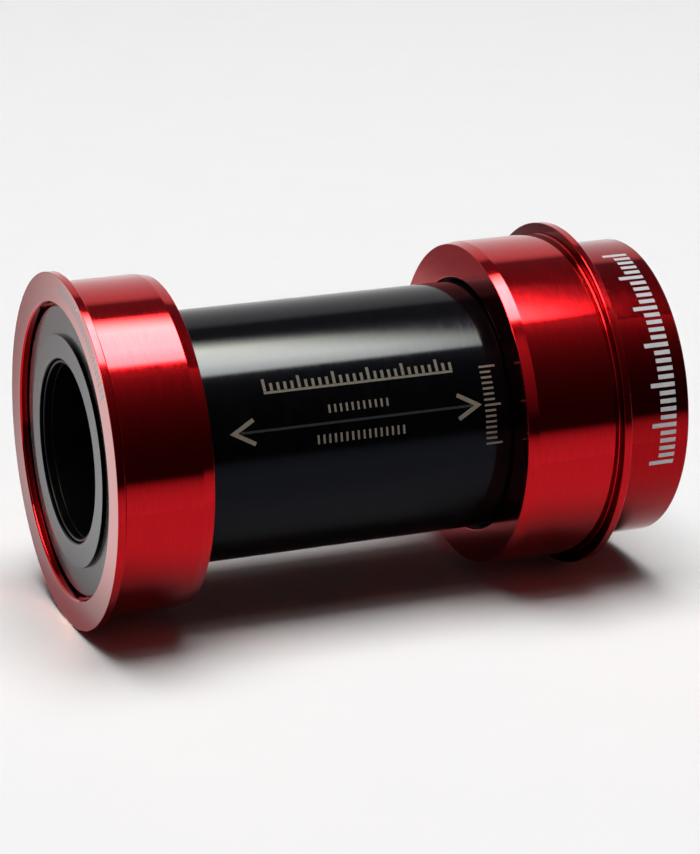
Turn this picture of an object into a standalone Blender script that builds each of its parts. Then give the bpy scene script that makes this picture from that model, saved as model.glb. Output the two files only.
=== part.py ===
"""A press-fit bicycle bottom bracket: a flush left cup, an external right cup and a dust sleeve between them.

Each cup holds a sealed hybrid ball bearing, a dust cover that turns with the crank spindle and a thin bush that
brings the bearing's 25 mm bore down to a 24 mm spindle.  The spindle's axis is the X axis, and +X is the right
(drive) side.  The origin is on that axis, halfway along the assembly as it lies with both cups pushed together.

All lengths below are in millimetres and are turned into metres when a mesh is made.  A place inside a cup is
given by its depth, the distance inwards from that cup's outer face.
"""

import math

import bmesh
import bpy
from mathutils import Matrix, Vector

MM = 0.001

# --- driving dimensions -------------------------------------------------------------------------------------
OVERALL_LENGTH = 84.3          # outer face to outer face, cups pushed together
SHELL_BORE_RADIUS = 23.0       # the 46 mm frame shell that both barrels press into
SPINDLE_BORE_RADIUS = 12.05    # takes a 24 mm spindle
FLANGE_RADIUS = 24.5
FLANGE_THICKNESS = 1.1
EDGE_BREAK = 0.12

# --- cups ----------------------------------------------------------------------------------------------------
LEFT_CUP_LENGTH = 13.9
RIGHT_CUP_LENGTH = 25.3
RIGHT_FLANGE_DEPTH = 11.6      # outer face of the right cup to the face that meets the frame
EXTERNAL_RADIUS = 21.1         # the part of the right cup outside the frame
EXTERNAL_FILLET = 1.1
LEAD_IN_LENGTH = 1.5
LEAD_IN_DROP = 0.3
RELIEF_WIDTH = 0.5             # groove between a barrel and its flange
RELIEF_DROP = 0.25
SEAT_CLEARANCE = 0.1
SHOULDER_DEPTH = 9.4           # where the bearing stops
SLEEVE_BORE_RADIUS = 18.0
MOUTH_RADIUS = 20.33
MOUTH_DEPTH = 2.3

# --- bearing: 25 x 37 x 7 ------------------------------------------------------------------------------------
BEARING_BORE_RADIUS = 12.5
BEARING_OUTER_RADIUS = 18.5
BEARING_WIDTH = 7.0
BEARING_DEPTH = 2.35
BALL_RADIUS = 1.75
BALL_COUNT = 16
PITCH_RADIUS = 15.5
RACE_CLEARANCE = 0.15
RACE_CURVE_RADIUS = 1.95
INNER_LAND_RADIUS = 14.3
OUTER_LAND_RADIUS = 16.7
RING_EDGE_BREAK = 0.25
SEAL_SEAT_RADIUS = 17.05
SEAL_SEAT_WIDTH = 0.75
SEAL_GAP = 0.1
SEAL_THICKNESS = 0.55
SEAL_LIP_GAP = 0.2

# --- cage, a crown that the balls snap into ------------------------------------------------------------------
CAGE_INNER_RADIUS = 14.7
CAGE_OUTER_RADIUS = 16.3
CAGE_CLOSED_SIDE = 2.3
CAGE_OPEN_SIDE = 1.5
POCKET_RADIUS = 1.9

# --- dust cover, its lip seal and the spindle bush -----------------------------------------------------------
COVER_RADIUS = 19.9
COVER_DEPTH = 1.2
COVER_THICKNESS = 0.8
BOSS_RADIUS = 15.95
BOSS_DEPTH = 0.6
COVER_HOLE_RADIUS = 12.6
HUB_RADIUS = 14.0
HUB_GAP = 0.05
COVER_ROUND = 0.25
LIP_INNER_RADIUS = 18.85
LIP_OUTER_RADIUS = 19.6
LIP_GROOVE_DEPTH = 0.35
LIP_STANDOUT = 0.22
LIP_GAP = 0.08
BUSH_OUTER_RADIUS = 12.42
BUSH_OUTER_DEPTH = 1.0
BUSH_INNER_DEPTH = 9.9

# --- centre sleeve and its O-rings ---------------------------------------------------------------------------
SLEEVE_OUTER_RADIUS = 17.47
SLEEVE_INNER_RADIUS = 16.2
SLEEVE_END_DEPTH = 9.8
SLEEVE_CHAMFER = 0.3
O_RING_RADIUS = 18.3           # to the middle of the rubber
O_RING_THICKNESS = 1.3
O_RING_INSET = 1.2             # from a cup's inner end to the middle of the rubber
O_RING_GROOVE_RADIUS = 19.05
O_RING_GROOVE_WIDTH = 1.5

# --- how finely round shapes are divided ---------------------------------------------------------------------
CASING_STEPS = 48
BEARING_STEPS = 32
O_RING_SECTION_POINTS = 6
POCKET_POINTS = 10
RACE_ARC_POINTS = 5

LEFT, RIGHT = -1, 1
SIDE_NAMES = {LEFT: "left", RIGHT: "right"}
CUP_LENGTHS = {LEFT: LEFT_CUP_LENGTH, RIGHT: RIGHT_CUP_LENGTH}

# name: (colour, roughness, metallic)
FINISHES = {
    "red_anodised_aluminium": ((0.55, 0.003, 0.02), 0.3, 1.0),
    "black_sleeve_plastic": ((0.008, 0.008, 0.009), 0.22, 0.0),
    "satin_grey_cover": ((0.09, 0.1, 0.105), 0.5, 0.3),
    "bearing_steel": ((0.6, 0.6, 0.62), 0.2, 1.0),
    "ceramic_ball": ((0.03, 0.03, 0.035), 0.1, 0.0),
    "cage_nylon": ((0.55, 0.5, 0.4), 0.5, 0.0),
    "seal_rubber": ((0.02, 0.02, 0.02), 0.7, 0.0),
    "bush_polymer": ((0.02, 0.021, 0.022), 0.3, 0.0),
}


# --- helpers ---------------------------------------------------------------------------------------------------
def clear_scene():
    for obj in list(bpy.data.objects):
        bpy.data.objects.remove(obj, do_unlink=True)


def make_collection(name):
    collection = bpy.data.collections.new(name)
    bpy.context.scene.collection.children.link(collection)
    return collection


def make_finishes():
    made = {}
    for name, (colour, roughness, metallic) in FINISHES.items():
        material = bpy.data.materials.new(name)
        material.use_nodes = True
        shader = material.node_tree.nodes["Principled BSDF"]
        shader.inputs["Base Color"].default_value = (*colour, 1.0)
        shader.inputs["Roughness"].default_value = roughness
        shader.inputs["Metallic"].default_value = metallic
        material.diffuse_color = (*colour, 1.0)
        made[name] = material
    return made


def axial(side, depth):
    """The X of a point this deep inside the cup on that side."""
    return side * (OVERALL_LENGTH / 2 - depth)


def arc(centre, radius, start, end, points):
    """Points on an arc in the (depth, radius) plane, angles in degrees from the depth direction."""
    found = []
    for i in range(points):
        angle = math.radians(start + (end - start) * i / (points - 1))
        found.append((centre[0] + radius * math.cos(angle), centre[1] + radius * math.sin(angle)))
    return found


def signed_area(loop):
    return sum(a[0] * b[1] - b[0] * a[1] for a, b in zip(loop, loop[1:] + loop[:1])) / 2


class Builder:
    """Makes the object's solids in one collection, and its cutters in another."""

    def __init__(self):
        self.parts = make_collection("bottom_bracket")
        self.cutters = make_collection("cutters")
        self.finishes = make_finishes()

    def axis_empty(self, name, parent=None):
        """An empty on the spindle's axis, which what moves together is parented to."""
        empty = bpy.data.objects.new(name, None)
        empty.empty_display_size = 10 * MM
        empty.parent = parent
        self.parts.objects.link(empty)
        return empty

    def turned(self, name, side, profile, steps, finish, parent):
        """A ring turned about the X axis from a closed loop of (depth, radius) points."""
        loop = [(axial(side, depth), radius) for depth, radius in profile]
        if signed_area(loop) < 0:
            loop.reverse()
        mesh = bpy.data.meshes.new(name)
        edges = [(i, (i + 1) % len(loop)) for i in range(len(loop))]
        mesh.from_pydata([(x * MM, 0.0, radius * MM) for x, radius in loop], edges, [])
        obj = self.link(name, mesh, finish, parent)
        screw = obj.modifiers.new("turn", "SCREW")
        screw.axis = "X"
        screw.angle = 2 * math.pi
        screw.steps = screw.render_steps = steps
        screw.use_merge_vertices = True
        screw.merge_threshold = 0.00001
        return obj

    def link(self, name, mesh, finish, parent):
        if not mesh.materials:
            mesh.materials.append(self.finishes[finish])
        obj = bpy.data.objects.new(name, mesh)
        obj.parent = parent
        self.parts.objects.link(obj)
        return obj


# --- casings -----------------------------------------------------------------------------------------------------
def mouth_and_seat():
    """The inside that both cups share, from the outer face to the shoulder that stops the bearing."""
    seat_radius = BEARING_OUTER_RADIUS + SEAT_CLEARANCE
    return [
        (0.0, MOUTH_RADIUS + EDGE_BREAK),
        (EDGE_BREAK, MOUTH_RADIUS),
        (MOUTH_DEPTH, MOUTH_RADIUS),
        (MOUTH_DEPTH, seat_radius),
        (SHOULDER_DEPTH, seat_radius),
        (SHOULDER_DEPTH, SLEEVE_BORE_RADIUS),
    ]


def sleeve_bore(cup_length):
    """The bore that the sleeve slides in, with the O-ring's groove, out to the cup's inner end."""
    groove = cup_length - O_RING_INSET
    half = O_RING_GROOVE_WIDTH / 2
    return [
        (groove - half, SLEEVE_BORE_RADIUS),
        (groove - half, O_RING_GROOVE_RADIUS),
        (groove + half, O_RING_GROOVE_RADIUS),
        (groove + half, SLEEVE_BORE_RADIUS),
        (cup_length - EDGE_BREAK, SLEEVE_BORE_RADIUS),
        (cup_length, SLEEVE_BORE_RADIUS + EDGE_BREAK),
    ]


def barrel(cup_length, seat_face_depth):
    """The press-fit outside, from the cup's inner end back to the flange face that meets the frame."""
    relief_radius = SHELL_BORE_RADIUS - RELIEF_DROP
    slope = RELIEF_WIDTH / 4
    return [
        (cup_length, SHELL_BORE_RADIUS - LEAD_IN_DROP),
        (cup_length - LEAD_IN_LENGTH, SHELL_BORE_RADIUS),
        (seat_face_depth + RELIEF_WIDTH, SHELL_BORE_RADIUS),
        (seat_face_depth + RELIEF_WIDTH - slope, relief_radius),
        (seat_face_depth + slope, relief_radius),
        (seat_face_depth, SHELL_BORE_RADIUS + EDGE_BREAK),
    ]


def flange_rim(seat_face_depth):
    outer_face = seat_face_depth - FLANGE_THICKNESS
    return [
        (seat_face_depth, FLANGE_RADIUS - EDGE_BREAK),
        (seat_face_depth - EDGE_BREAK, FLANGE_RADIUS),
        (outer_face + EDGE_BREAK, FLANGE_RADIUS),
        (outer_face, FLANGE_RADIUS - EDGE_BREAK),
    ]


def make_left_cup(build, parent):
    profile = mouth_and_seat() + sleeve_bore(LEFT_CUP_LENGTH)
    profile += barrel(LEFT_CUP_LENGTH, FLANGE_THICKNESS)
    profile += flange_rim(FLANGE_THICKNESS)
    build.turned("left_cup", LEFT, profile, CASING_STEPS, "red_anodised_aluminium", parent)


def make_right_cup(build, parent):
    flange_back = RIGHT_FLANGE_DEPTH - FLANGE_THICKNESS
    fillet_centre = (flange_back - EXTERNAL_FILLET, EXTERNAL_RADIUS + EXTERNAL_FILLET)
    profile = mouth_and_seat() + sleeve_bore(RIGHT_CUP_LENGTH)
    profile += barrel(RIGHT_CUP_LENGTH, RIGHT_FLANGE_DEPTH)
    profile += flange_rim(RIGHT_FLANGE_DEPTH)
    profile += arc(fillet_centre, EXTERNAL_FILLET, 0, -90, 4)
    profile += [(EDGE_BREAK, EXTERNAL_RADIUS), (0.0, EXTERNAL_RADIUS - EDGE_BREAK)]
    build.turned("right_cup", RIGHT, profile, CASING_STEPS, "red_anodised_aluminium", parent)


def make_sleeve(build, parent):
    far_end = OVERALL_LENGTH - SLEEVE_END_DEPTH
    profile = [
        (SLEEVE_END_DEPTH, SLEEVE_INNER_RADIUS),
        (SLEEVE_END_DEPTH, SLEEVE_OUTER_RADIUS - SLEEVE_CHAMFER),
        (SLEEVE_END_DEPTH + SLEEVE_CHAMFER, SLEEVE_OUTER_RADIUS),
        (far_end - SLEEVE_CHAMFER, SLEEVE_OUTER_RADIUS),
        (far_end, SLEEVE_OUTER_RADIUS - SLEEVE_CHAMFER),
        (far_end, SLEEVE_INNER_RADIUS),
    ]
    build.turned("centre_sleeve", LEFT, profile, CASING_STEPS, "black_sleeve_plastic", parent)


def make_o_ring(build, side, parent):
    middle = (CUP_LENGTHS[side] - O_RING_INSET, O_RING_RADIUS)
    section = arc(middle, O_RING_THICKNESS / 2, 30, 330, O_RING_SECTION_POINTS)
    build.turned(f"{SIDE_NAMES[side]}_sleeve_o_ring", side, section, BEARING_STEPS, "seal_rubber", parent)


# --- bearing -----------------------------------------------------------------------------------------------------
def race_arc(bottom_radius, land_radius, outwards):
    """The groove that the balls run in, across the ring, as (depth from the middle, radius) points."""
    centre_radius = bottom_radius - outwards * RACE_CURVE_RADIUS
    half_angle = math.degrees(math.acos(abs(land_radius - centre_radius) / RACE_CURVE_RADIUS))
    middle = 90 * outwards
    return arc((0.0, centre_radius), RACE_CURVE_RADIUS, middle + half_angle, middle - half_angle, RACE_ARC_POINTS)


def shifted(points, depth):
    return [(point[0] + depth, point[1]) for point in points]


def make_races(build, side, cup_parent, spindle_parent):
    near = BEARING_DEPTH
    far = BEARING_DEPTH + BEARING_WIDTH
    middle = BEARING_DEPTH + BEARING_WIDTH / 2
    break_ = RING_EDGE_BREAK
    outer_groove = race_arc(PITCH_RADIUS + BALL_RADIUS + RACE_CLEARANCE, OUTER_LAND_RADIUS, 1)
    outer_groove = sorted(shifted(outer_groove, middle))
    outer = [
        (far, SEAL_SEAT_RADIUS),
        (far, BEARING_OUTER_RADIUS - break_),
        (far - break_, BEARING_OUTER_RADIUS),
        (near + break_, BEARING_OUTER_RADIUS),
        (near, BEARING_OUTER_RADIUS - break_),
        (near, SEAL_SEAT_RADIUS),
        (near + SEAL_SEAT_WIDTH, SEAL_SEAT_RADIUS),
        (near + SEAL_SEAT_WIDTH, OUTER_LAND_RADIUS),
        *outer_groove,
        (far - SEAL_SEAT_WIDTH, OUTER_LAND_RADIUS),
        (far - SEAL_SEAT_WIDTH, SEAL_SEAT_RADIUS),
    ]
    inner_groove = race_arc(PITCH_RADIUS - BALL_RADIUS - RACE_CLEARANCE, INNER_LAND_RADIUS, -1)
    inner_groove = sorted(shifted(inner_groove, middle), reverse=True)
    inner = [
        (near, INNER_LAND_RADIUS),
        (near, BEARING_BORE_RADIUS + break_),
        (near + break_, BEARING_BORE_RADIUS),
        (far - break_, BEARING_BORE_RADIUS),
        (far, BEARING_BORE_RADIUS + break_),
        (far, INNER_LAND_RADIUS),
        *inner_groove,
    ]
    word = SIDE_NAMES[side]
    build.turned(f"{word}_outer_race", side, outer, BEARING_STEPS, "bearing_steel", cup_parent)
    build.turned(f"{word}_inner_race", side, inner, BEARING_STEPS, "bearing_steel", spindle_parent)


def make_bearing_seals(build, side, parent):
    """The two rubber shields that sit in the outer race and wipe the inner one."""
    starts = {
        "outboard": BEARING_DEPTH + SEAL_GAP,
        "inboard": BEARING_DEPTH + BEARING_WIDTH - SEAL_GAP - SEAL_THICKNESS,
    }
    inner_radius = INNER_LAND_RADIUS + SEAL_LIP_GAP
    outer_radius = SEAL_SEAT_RADIUS - SEAL_GAP
    for word, start in starts.items():
        end = start + SEAL_THICKNESS
        profile = [(start, inner_radius), (start, outer_radius), (end, outer_radius), (end, inner_radius)]
        name = f"{SIDE_NAMES[side]}_{word}_bearing_seal"
        build.turned(name, side, profile, BEARING_STEPS, "seal_rubber", parent)


def ball_angles():
    return [2 * math.pi * i / BALL_COUNT for i in range(BALL_COUNT)]


def make_balls(build, side, parent):
    x = axial(side, BEARING_DEPTH + BEARING_WIDTH / 2)
    mesh = None
    for i, angle in enumerate(ball_angles()):
        if mesh is None:
            bpy.ops.mesh.primitive_ico_sphere_add(subdivisions=2, radius=BALL_RADIUS * MM)
            first = bpy.context.object
            mesh = first.data
            bpy.data.objects.remove(first)
            mesh.shade_smooth()
        ball = build.link(f"{SIDE_NAMES[side]}_ball_{i + 1:02d}", mesh, "ceramic_ball", parent)
        across = Vector((0.0, math.cos(angle), math.sin(angle))) * PITCH_RADIUS
        ball.location = Vector((x, across.y, across.z)) * MM


def pocket_cutter(build, side):
    """One mesh of radial cylinders, one through each ball's place in the cage."""
    x = axial(side, BEARING_DEPTH + BEARING_WIDTH / 2)
    shape = bmesh.new()
    for angle in ball_angles():
        outward = Vector((0.0, math.cos(angle), math.sin(angle)))
        turn = outward.to_track_quat("Z", "X").to_matrix().to_4x4()
        place = Matrix.Translation((Vector((x, 0.0, 0.0)) + outward * PITCH_RADIUS) * MM)
        bmesh.ops.create_cone(
            shape,
            cap_ends=True,
            segments=POCKET_POINTS,
            radius1=POCKET_RADIUS * MM,
            radius2=POCKET_RADIUS * MM,
            depth=2 * POCKET_RADIUS * MM,
            matrix=place @ turn,
        )
    mesh = bpy.data.meshes.new("pockets")
    shape.to_mesh(mesh)
    shape.free()
    cutter = bpy.data.objects.new(f"{SIDE_NAMES[side]}_cage_pockets", mesh)
    cutter.hide_render = True
    cutter.display_type = "WIRE"
    build.cutters.objects.link(cutter)
    return cutter


def make_cage(build, side, parent):
    middle = BEARING_DEPTH + BEARING_WIDTH / 2
    near = middle - CAGE_CLOSED_SIDE
    far = middle + CAGE_OPEN_SIDE
    profile = [
        (near, CAGE_INNER_RADIUS),
        (near, CAGE_OUTER_RADIUS),
        (far, CAGE_OUTER_RADIUS),
        (far, CAGE_INNER_RADIUS),
    ]
    name = f"{SIDE_NAMES[side]}_ball_cage"
    cage = build.turned(name, side, profile, BALL_COUNT * 2, "cage_nylon", parent)
    pockets = cage.modifiers.new("pockets", "BOOLEAN")
    pockets.operation = "DIFFERENCE"
    pockets.object = pocket_cutter(build, side)


# --- what turns with the spindle ---------------------------------------------------------------------------------
def make_dust_cover(build, side, parent):
    back = COVER_DEPTH + COVER_THICKNESS
    hub_end = BEARING_DEPTH - HUB_GAP
    groove_floor = back - LIP_GROOVE_DEPTH
    profile = [
        (hub_end, COVER_HOLE_RADIUS),
        (BOSS_DEPTH + COVER_ROUND, COVER_HOLE_RADIUS),
        (BOSS_DEPTH, COVER_HOLE_RADIUS + COVER_ROUND),
        (BOSS_DEPTH, BOSS_RADIUS - COVER_ROUND / 2),
        (BOSS_DEPTH + COVER_ROUND / 2, BOSS_RADIUS),
        (COVER_DEPTH, BOSS_RADIUS),
        (COVER_DEPTH, COVER_RADIUS - COVER_ROUND),
        (COVER_DEPTH + COVER_ROUND, COVER_RADIUS),
        (back, COVER_RADIUS),
        (back, LIP_OUTER_RADIUS + LIP_GAP),
        (groove_floor, LIP_OUTER_RADIUS + LIP_GAP),
        (groove_floor, LIP_INNER_RADIUS - LIP_GAP),
        (back, LIP_INNER_RADIUS - LIP_GAP),
        (back, HUB_RADIUS),
        (hub_end, HUB_RADIUS),
    ]
    name = f"{SIDE_NAMES[side]}_dust_cover"
    build.turned(name, side, profile, CASING_STEPS, "satin_grey_cover", parent)


def make_cover_lip(build, side, parent):
    back = COVER_DEPTH + COVER_THICKNESS
    near = back - LIP_GROOVE_DEPTH + LIP_GAP
    far = back + LIP_STANDOUT
    middle_radius = (LIP_INNER_RADIUS + LIP_OUTER_RADIUS) / 2
    profile = [
        (near, LIP_INNER_RADIUS),
        (near, LIP_OUTER_RADIUS),
        (back, LIP_OUTER_RADIUS),
        (far, middle_radius),
        (back, LIP_INNER_RADIUS),
    ]
    name = f"{SIDE_NAMES[side]}_cover_lip_seal"
    build.turned(name, side, profile, CASING_STEPS, "seal_rubber", parent)


def make_spindle_bush(build, side, parent):
    profile = [
        (BUSH_OUTER_DEPTH, SPINDLE_BORE_RADIUS),
        (BUSH_OUTER_DEPTH, BUSH_OUTER_RADIUS),
        (BUSH_INNER_DEPTH, BUSH_OUTER_RADIUS),
        (BUSH_INNER_DEPTH, SPINDLE_BORE_RADIUS),
    ]
    name = f"{SIDE_NAMES[side]}_spindle_bush"
    build.turned(name, side, profile, CASING_STEPS, "bush_polymer", parent)


# --- assembly ----------------------------------------------------------------------------------------------------
def make_side(build, side, cup_parent):
    """Everything that a cup holds.  The empties' rest place is the axis of the joint that they stand for."""
    word = SIDE_NAMES[side]
    spindle_axis = build.axis_empty(f"{word}_spindle_axis", cup_parent)
    ball_axis = build.axis_empty(f"{word}_ball_orbit_axis", cup_parent)
    make_o_ring(build, side, cup_parent)
    make_races(build, side, cup_parent, spindle_axis)
    make_bearing_seals(build, side, cup_parent)
    make_cage(build, side, ball_axis)
    make_balls(build, side, ball_axis)
    make_dust_cover(build, side, spindle_axis)
    make_cover_lip(build, side, spindle_axis)
    make_spindle_bush(build, side, spindle_axis)


def main():
    clear_scene()
    build = Builder()
    right_cup_axis = build.axis_empty("right_cup_axis")
    sleeve_axis = build.axis_empty("sleeve_axis", right_cup_axis)
    left_cup_axis = build.axis_empty("left_cup_axis", sleeve_axis)
    make_right_cup(build, right_cup_axis)
    make_side(build, RIGHT, right_cup_axis)
    make_sleeve(build, sleeve_axis)
    make_left_cup(build, left_cup_axis)
    make_side(build, LEFT, left_cup_axis)


main()
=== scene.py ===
"""The look of a press-fit bottom bracket: turned red cups, a glossy sleeve, satin covers and plain marks.

Every turned piece is made here as a fine lathe of a rounded profile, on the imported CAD's own axis and faces.
Profiles are lists of (depth, radius, rounding) in millimetres: depth is the distance inwards from the outer
face of the cup on that side, and rounding is how far from the corner its rounding starts.
"""

import math

import bmesh
import bpy
from mathutils import Matrix, Vector


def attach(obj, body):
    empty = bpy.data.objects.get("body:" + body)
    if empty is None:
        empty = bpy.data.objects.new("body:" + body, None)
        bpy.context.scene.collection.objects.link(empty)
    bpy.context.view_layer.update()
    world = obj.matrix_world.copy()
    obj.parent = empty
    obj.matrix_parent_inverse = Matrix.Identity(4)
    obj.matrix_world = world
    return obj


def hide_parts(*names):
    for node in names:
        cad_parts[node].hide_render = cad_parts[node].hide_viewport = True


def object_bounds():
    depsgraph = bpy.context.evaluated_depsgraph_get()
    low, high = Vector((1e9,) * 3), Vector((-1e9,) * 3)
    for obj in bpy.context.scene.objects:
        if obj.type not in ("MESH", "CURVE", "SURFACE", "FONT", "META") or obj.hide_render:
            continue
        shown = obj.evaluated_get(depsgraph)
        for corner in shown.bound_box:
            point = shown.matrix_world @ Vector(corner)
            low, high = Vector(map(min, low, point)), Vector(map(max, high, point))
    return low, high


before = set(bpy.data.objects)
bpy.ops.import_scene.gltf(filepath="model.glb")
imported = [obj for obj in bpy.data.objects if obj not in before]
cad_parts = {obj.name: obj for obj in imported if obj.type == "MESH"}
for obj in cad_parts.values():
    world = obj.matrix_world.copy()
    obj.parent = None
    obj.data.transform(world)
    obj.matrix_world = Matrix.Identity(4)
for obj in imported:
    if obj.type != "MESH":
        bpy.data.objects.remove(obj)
cad_low, cad_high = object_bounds()

MM = 0.001
LEFT, RIGHT = -1, 1
SIDE_NAMES = {LEFT: "left", RIGHT: "right"}
HALF_LENGTH = cad_high.x / MM
OVERALL_LENGTH = 2 * HALF_LENGTH
FLANGE_RADIUS = cad_high.z / MM

# --- sizes of the cups, in millimetres ---------------------------------------------------------------
SHELL_RADIUS = 23.0            # the barrels, which press into the frame
LEAD_IN_RADIUS = 22.72
LEAD_IN_LENGTH = 1.6
RELIEF_RADIUS = 22.86          # the floor of the groove between a barrel and its flange
RELIEF_EDGE_RADIUS = 22.94
RELIEF_STEPS = (0.0, 0.1, 0.42, 0.55)    # across that groove, from the flange's face
EXTERNAL_RADIUS = 21.1         # the part of the right cup outside the frame
MOUTH_RADIUS = 20.33
MOUTH_DEPTH = 2.3
MOUTH_CHAMFER = 0.22
SEAT_RADIUS = 18.6
SHOULDER_DEPTH = 9.4
SLEEVE_SEAT_RADIUS = 18.0      # the bore that the sleeve slides in
O_RING_GROOVE_RADIUS = 19.05
O_RING_GROOVE = (0.45, 1.95)   # its two walls, from a cup's inner end
CUP_LENGTHS = {LEFT: 13.9, RIGHT: 25.3}
LEFT_FLANGE = (0.0, 1.1)       # depths of a flange's two faces
RIGHT_FLANGE = (10.5, 11.6)
FACE_SKIM = 0.02               # kept under the outer face, so that the marks on it stay inside the CAD's box

# --- sizes of the sleeve and its O-rings ---------------------------------------------------------------
SLEEVE_RADIUS = 17.47
SLEEVE_INNER_RADIUS = 16.2
SLEEVE_DEPTH = 9.8
O_RING_RADIUS = 18.3           # to the middle of the rubber
O_RING_SECTION = 0.62
O_RING_INSET = 1.2
O_RING_POINTS = 12

# --- sizes of the dust covers, their lip seals and the bushes -----------------------------------------
COVER_RADIUS = 19.9
COVER_DEPTH = 1.2
COVER_BACK = 2.0
COVER_HOLE_RADIUS = 12.6
BOSS_RADIUS = 15.95
BOSS_DEPTH = 0.6
HUB_RADIUS = 14.0
HUB_END = 2.3
LIP_GROOVE = (18.77, 19.68)    # radii of the groove in the cover's back
LIP_GROOVE_DEPTH = 1.65
LIP_SEAL = (18.87, 19.58)
LIP_ROOT = 1.75
LIP_TIP = (2.22, 19.22)
BUSH_RADIUS = 12.42
BUSH_BORE_RADIUS = 12.05
BUSH_STEP_RADIUS = 12.12
BUSH_START, BUSH_END = 1.0, 9.9
BUSH_STEP = (1.5, 2.2)

# --- sizes of the bearings, 25 x 37 x 7 -----------------------------------------------------------------
BEARING_BORE_RADIUS = 12.5
BEARING_RADIUS = 18.5
BEARING_WIDTH = 7.0
BEARING_DEPTH = 2.35
BEARING_MIDDLE = BEARING_DEPTH + BEARING_WIDTH / 2
BALL_RADIUS = 1.75
BALL_COUNT = 16
PITCH_RADIUS = 15.5
INNER_LAND_RADIUS = 14.3
OUTER_LAND_RADIUS = 16.7
TRACK_REACH = 1.9              # from the pitch circle to the bottom of a track
TRACK_CURVE = 1.95
TRACK_POINTS = 9
SHIELD_SEAT_RADIUS = 17.05
SHIELD_SEAT_WIDTH = 0.75
SHIELD_RADII = (14.5, 16.95)
SHIELD_THICKNESS = 0.55
SHIELD_GAP = 0.1
PRESSED_RING = (15.0, 15.25, 16.2, 16.45)    # radii of the ring pressed into a shield
PRESSED_DEPTH = 0.12
CAGE_RADII = (14.7, 16.3)
CAGE_CLOSED_SIDE = 2.3
CAGE_OPEN_SIDE = 1.5
POCKET_RADIUS = 1.9
POCKET_SIDES = 32

# --- fineness ----------------------------------------------------------------------------------------------
FINE_STEPS = 224
INNER_STEPS = 96
ROUND_POINTS = 5
SUPPORT = 0.03                 # a ring this far from a rounding keeps the flat beside it flat in shading


# --- turned pieces ---------------------------------------------------------------------------------------
def rounded(profile):
    """The closed profile as (depth, radius) points, with each corner eased by a short curve."""
    points = []
    count = len(profile)
    for i, (depth, radius, ease) in enumerate(profile):
        corner = Vector((depth, radius))
        before = Vector(profile[i - 1][:2]) - corner
        after = Vector(profile[(i + 1) % count][:2]) - corner
        ease = min(ease, 0.45 * before.length, 0.45 * after.length)
        if ease <= 0:
            points.append(corner)
            continue
        start = corner + before.normalized() * ease
        end = corner + after.normalized() * ease
        if before.length > 2 * (ease + SUPPORT):
            points.append(start + before.normalized() * SUPPORT)
        for step in range(ROUND_POINTS):
            t = step / (ROUND_POINTS - 1)
            points.append(start * (1 - t) ** 2 + corner * 2 * t * (1 - t) + end * t**2)
        if after.length > 2 * (ease + SUPPORT):
            points.append(end + after.normalized() * SUPPORT)
    return points


def lathe(name, side, profile, steps=FINE_STEPS):
    """A closed ring turned about the X axis."""
    loop = [(side * (HALF_LENGTH - depth), radius) for depth, radius in rounded(profile)]
    ring = len(loop)
    vertices = []
    for step in range(steps):
        angle = 2 * math.pi * step / steps
        along, up = math.sin(angle), math.cos(angle)
        vertices += [(x * MM, radius * along * MM, radius * up * MM) for x, radius in loop]
    faces = []
    for step in range(steps):
        here, there = step * ring, (step + 1) % steps * ring
        for i in range(ring):
            j = (i + 1) % ring
            faces.append((here + i, there + i, there + j, here + j))
    mesh = bpy.data.meshes.new(name)
    mesh.from_pydata(vertices, [], faces)
    shape = bmesh.new()
    shape.from_mesh(mesh)
    bmesh.ops.recalc_face_normals(shape, faces=shape.faces)
    shape.to_mesh(mesh)
    shape.free()
    return add_mesh(name, mesh)


def add_mesh(name, mesh):
    mesh.shade_smooth()
    obj = bpy.data.objects.new(name, mesh)
    bpy.context.scene.collection.objects.link(obj)
    return obj


def stand_for(piece, node, body, material):
    """Puts a piece in its CAD node's place."""
    piece.data.materials.clear()
    piece.data.materials.append(material)
    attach(piece, body)
    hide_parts(node)


def mouth_and_seat():
    """From the outer face in to the bearing's shoulder."""
    return [
        (FACE_SKIM, MOUTH_RADIUS + MOUTH_CHAMFER, 0.06),
        (FACE_SKIM + MOUTH_CHAMFER, MOUTH_RADIUS, 0.08),
        (MOUTH_DEPTH, MOUTH_RADIUS, 0.1),
        (MOUTH_DEPTH, SEAT_RADIUS, 0.1),
        (SHOULDER_DEPTH, SEAT_RADIUS, 0.1),
        (SHOULDER_DEPTH, SLEEVE_SEAT_RADIUS, 0.1),
    ]


def sleeve_seat(length):
    """The bore that the sleeve slides in, with the O-ring's groove, out to the cup's inner end."""
    near_end, far_end = [length - inset for inset in O_RING_GROOVE]
    return [
        (far_end, SLEEVE_SEAT_RADIUS, 0.06),
        (far_end, O_RING_GROOVE_RADIUS, 0.06),
        (near_end, O_RING_GROOVE_RADIUS, 0.06),
        (near_end, SLEEVE_SEAT_RADIUS, 0.06),
        (length, SLEEVE_SEAT_RADIUS, 0.15),
    ]


def barrel(length, seat_depth):
    """From a cup's inner end, along its barrel, to the face of its flange that meets the frame."""
    face, floor_start, floor_end, edge = [seat_depth + step for step in RELIEF_STEPS]
    return [
        (length, LEAD_IN_RADIUS, 0.06),
        (length - LEAD_IN_LENGTH, SHELL_RADIUS, 0.06),
        (edge, SHELL_RADIUS, 0.04),
        (floor_end, RELIEF_RADIUS, 0.05),
        (floor_start, RELIEF_RADIUS, 0.05),
        (face, RELIEF_EDGE_RADIUS, 0.05),
    ]


def flange_rim(inner_face, outer_face):
    """Round the rim of a flange, from its inner face to its outer one."""
    return [
        (inner_face, FLANGE_RADIUS, 0.07),
        (outer_face, FLANGE_RADIUS, 0.1),
    ]


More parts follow.
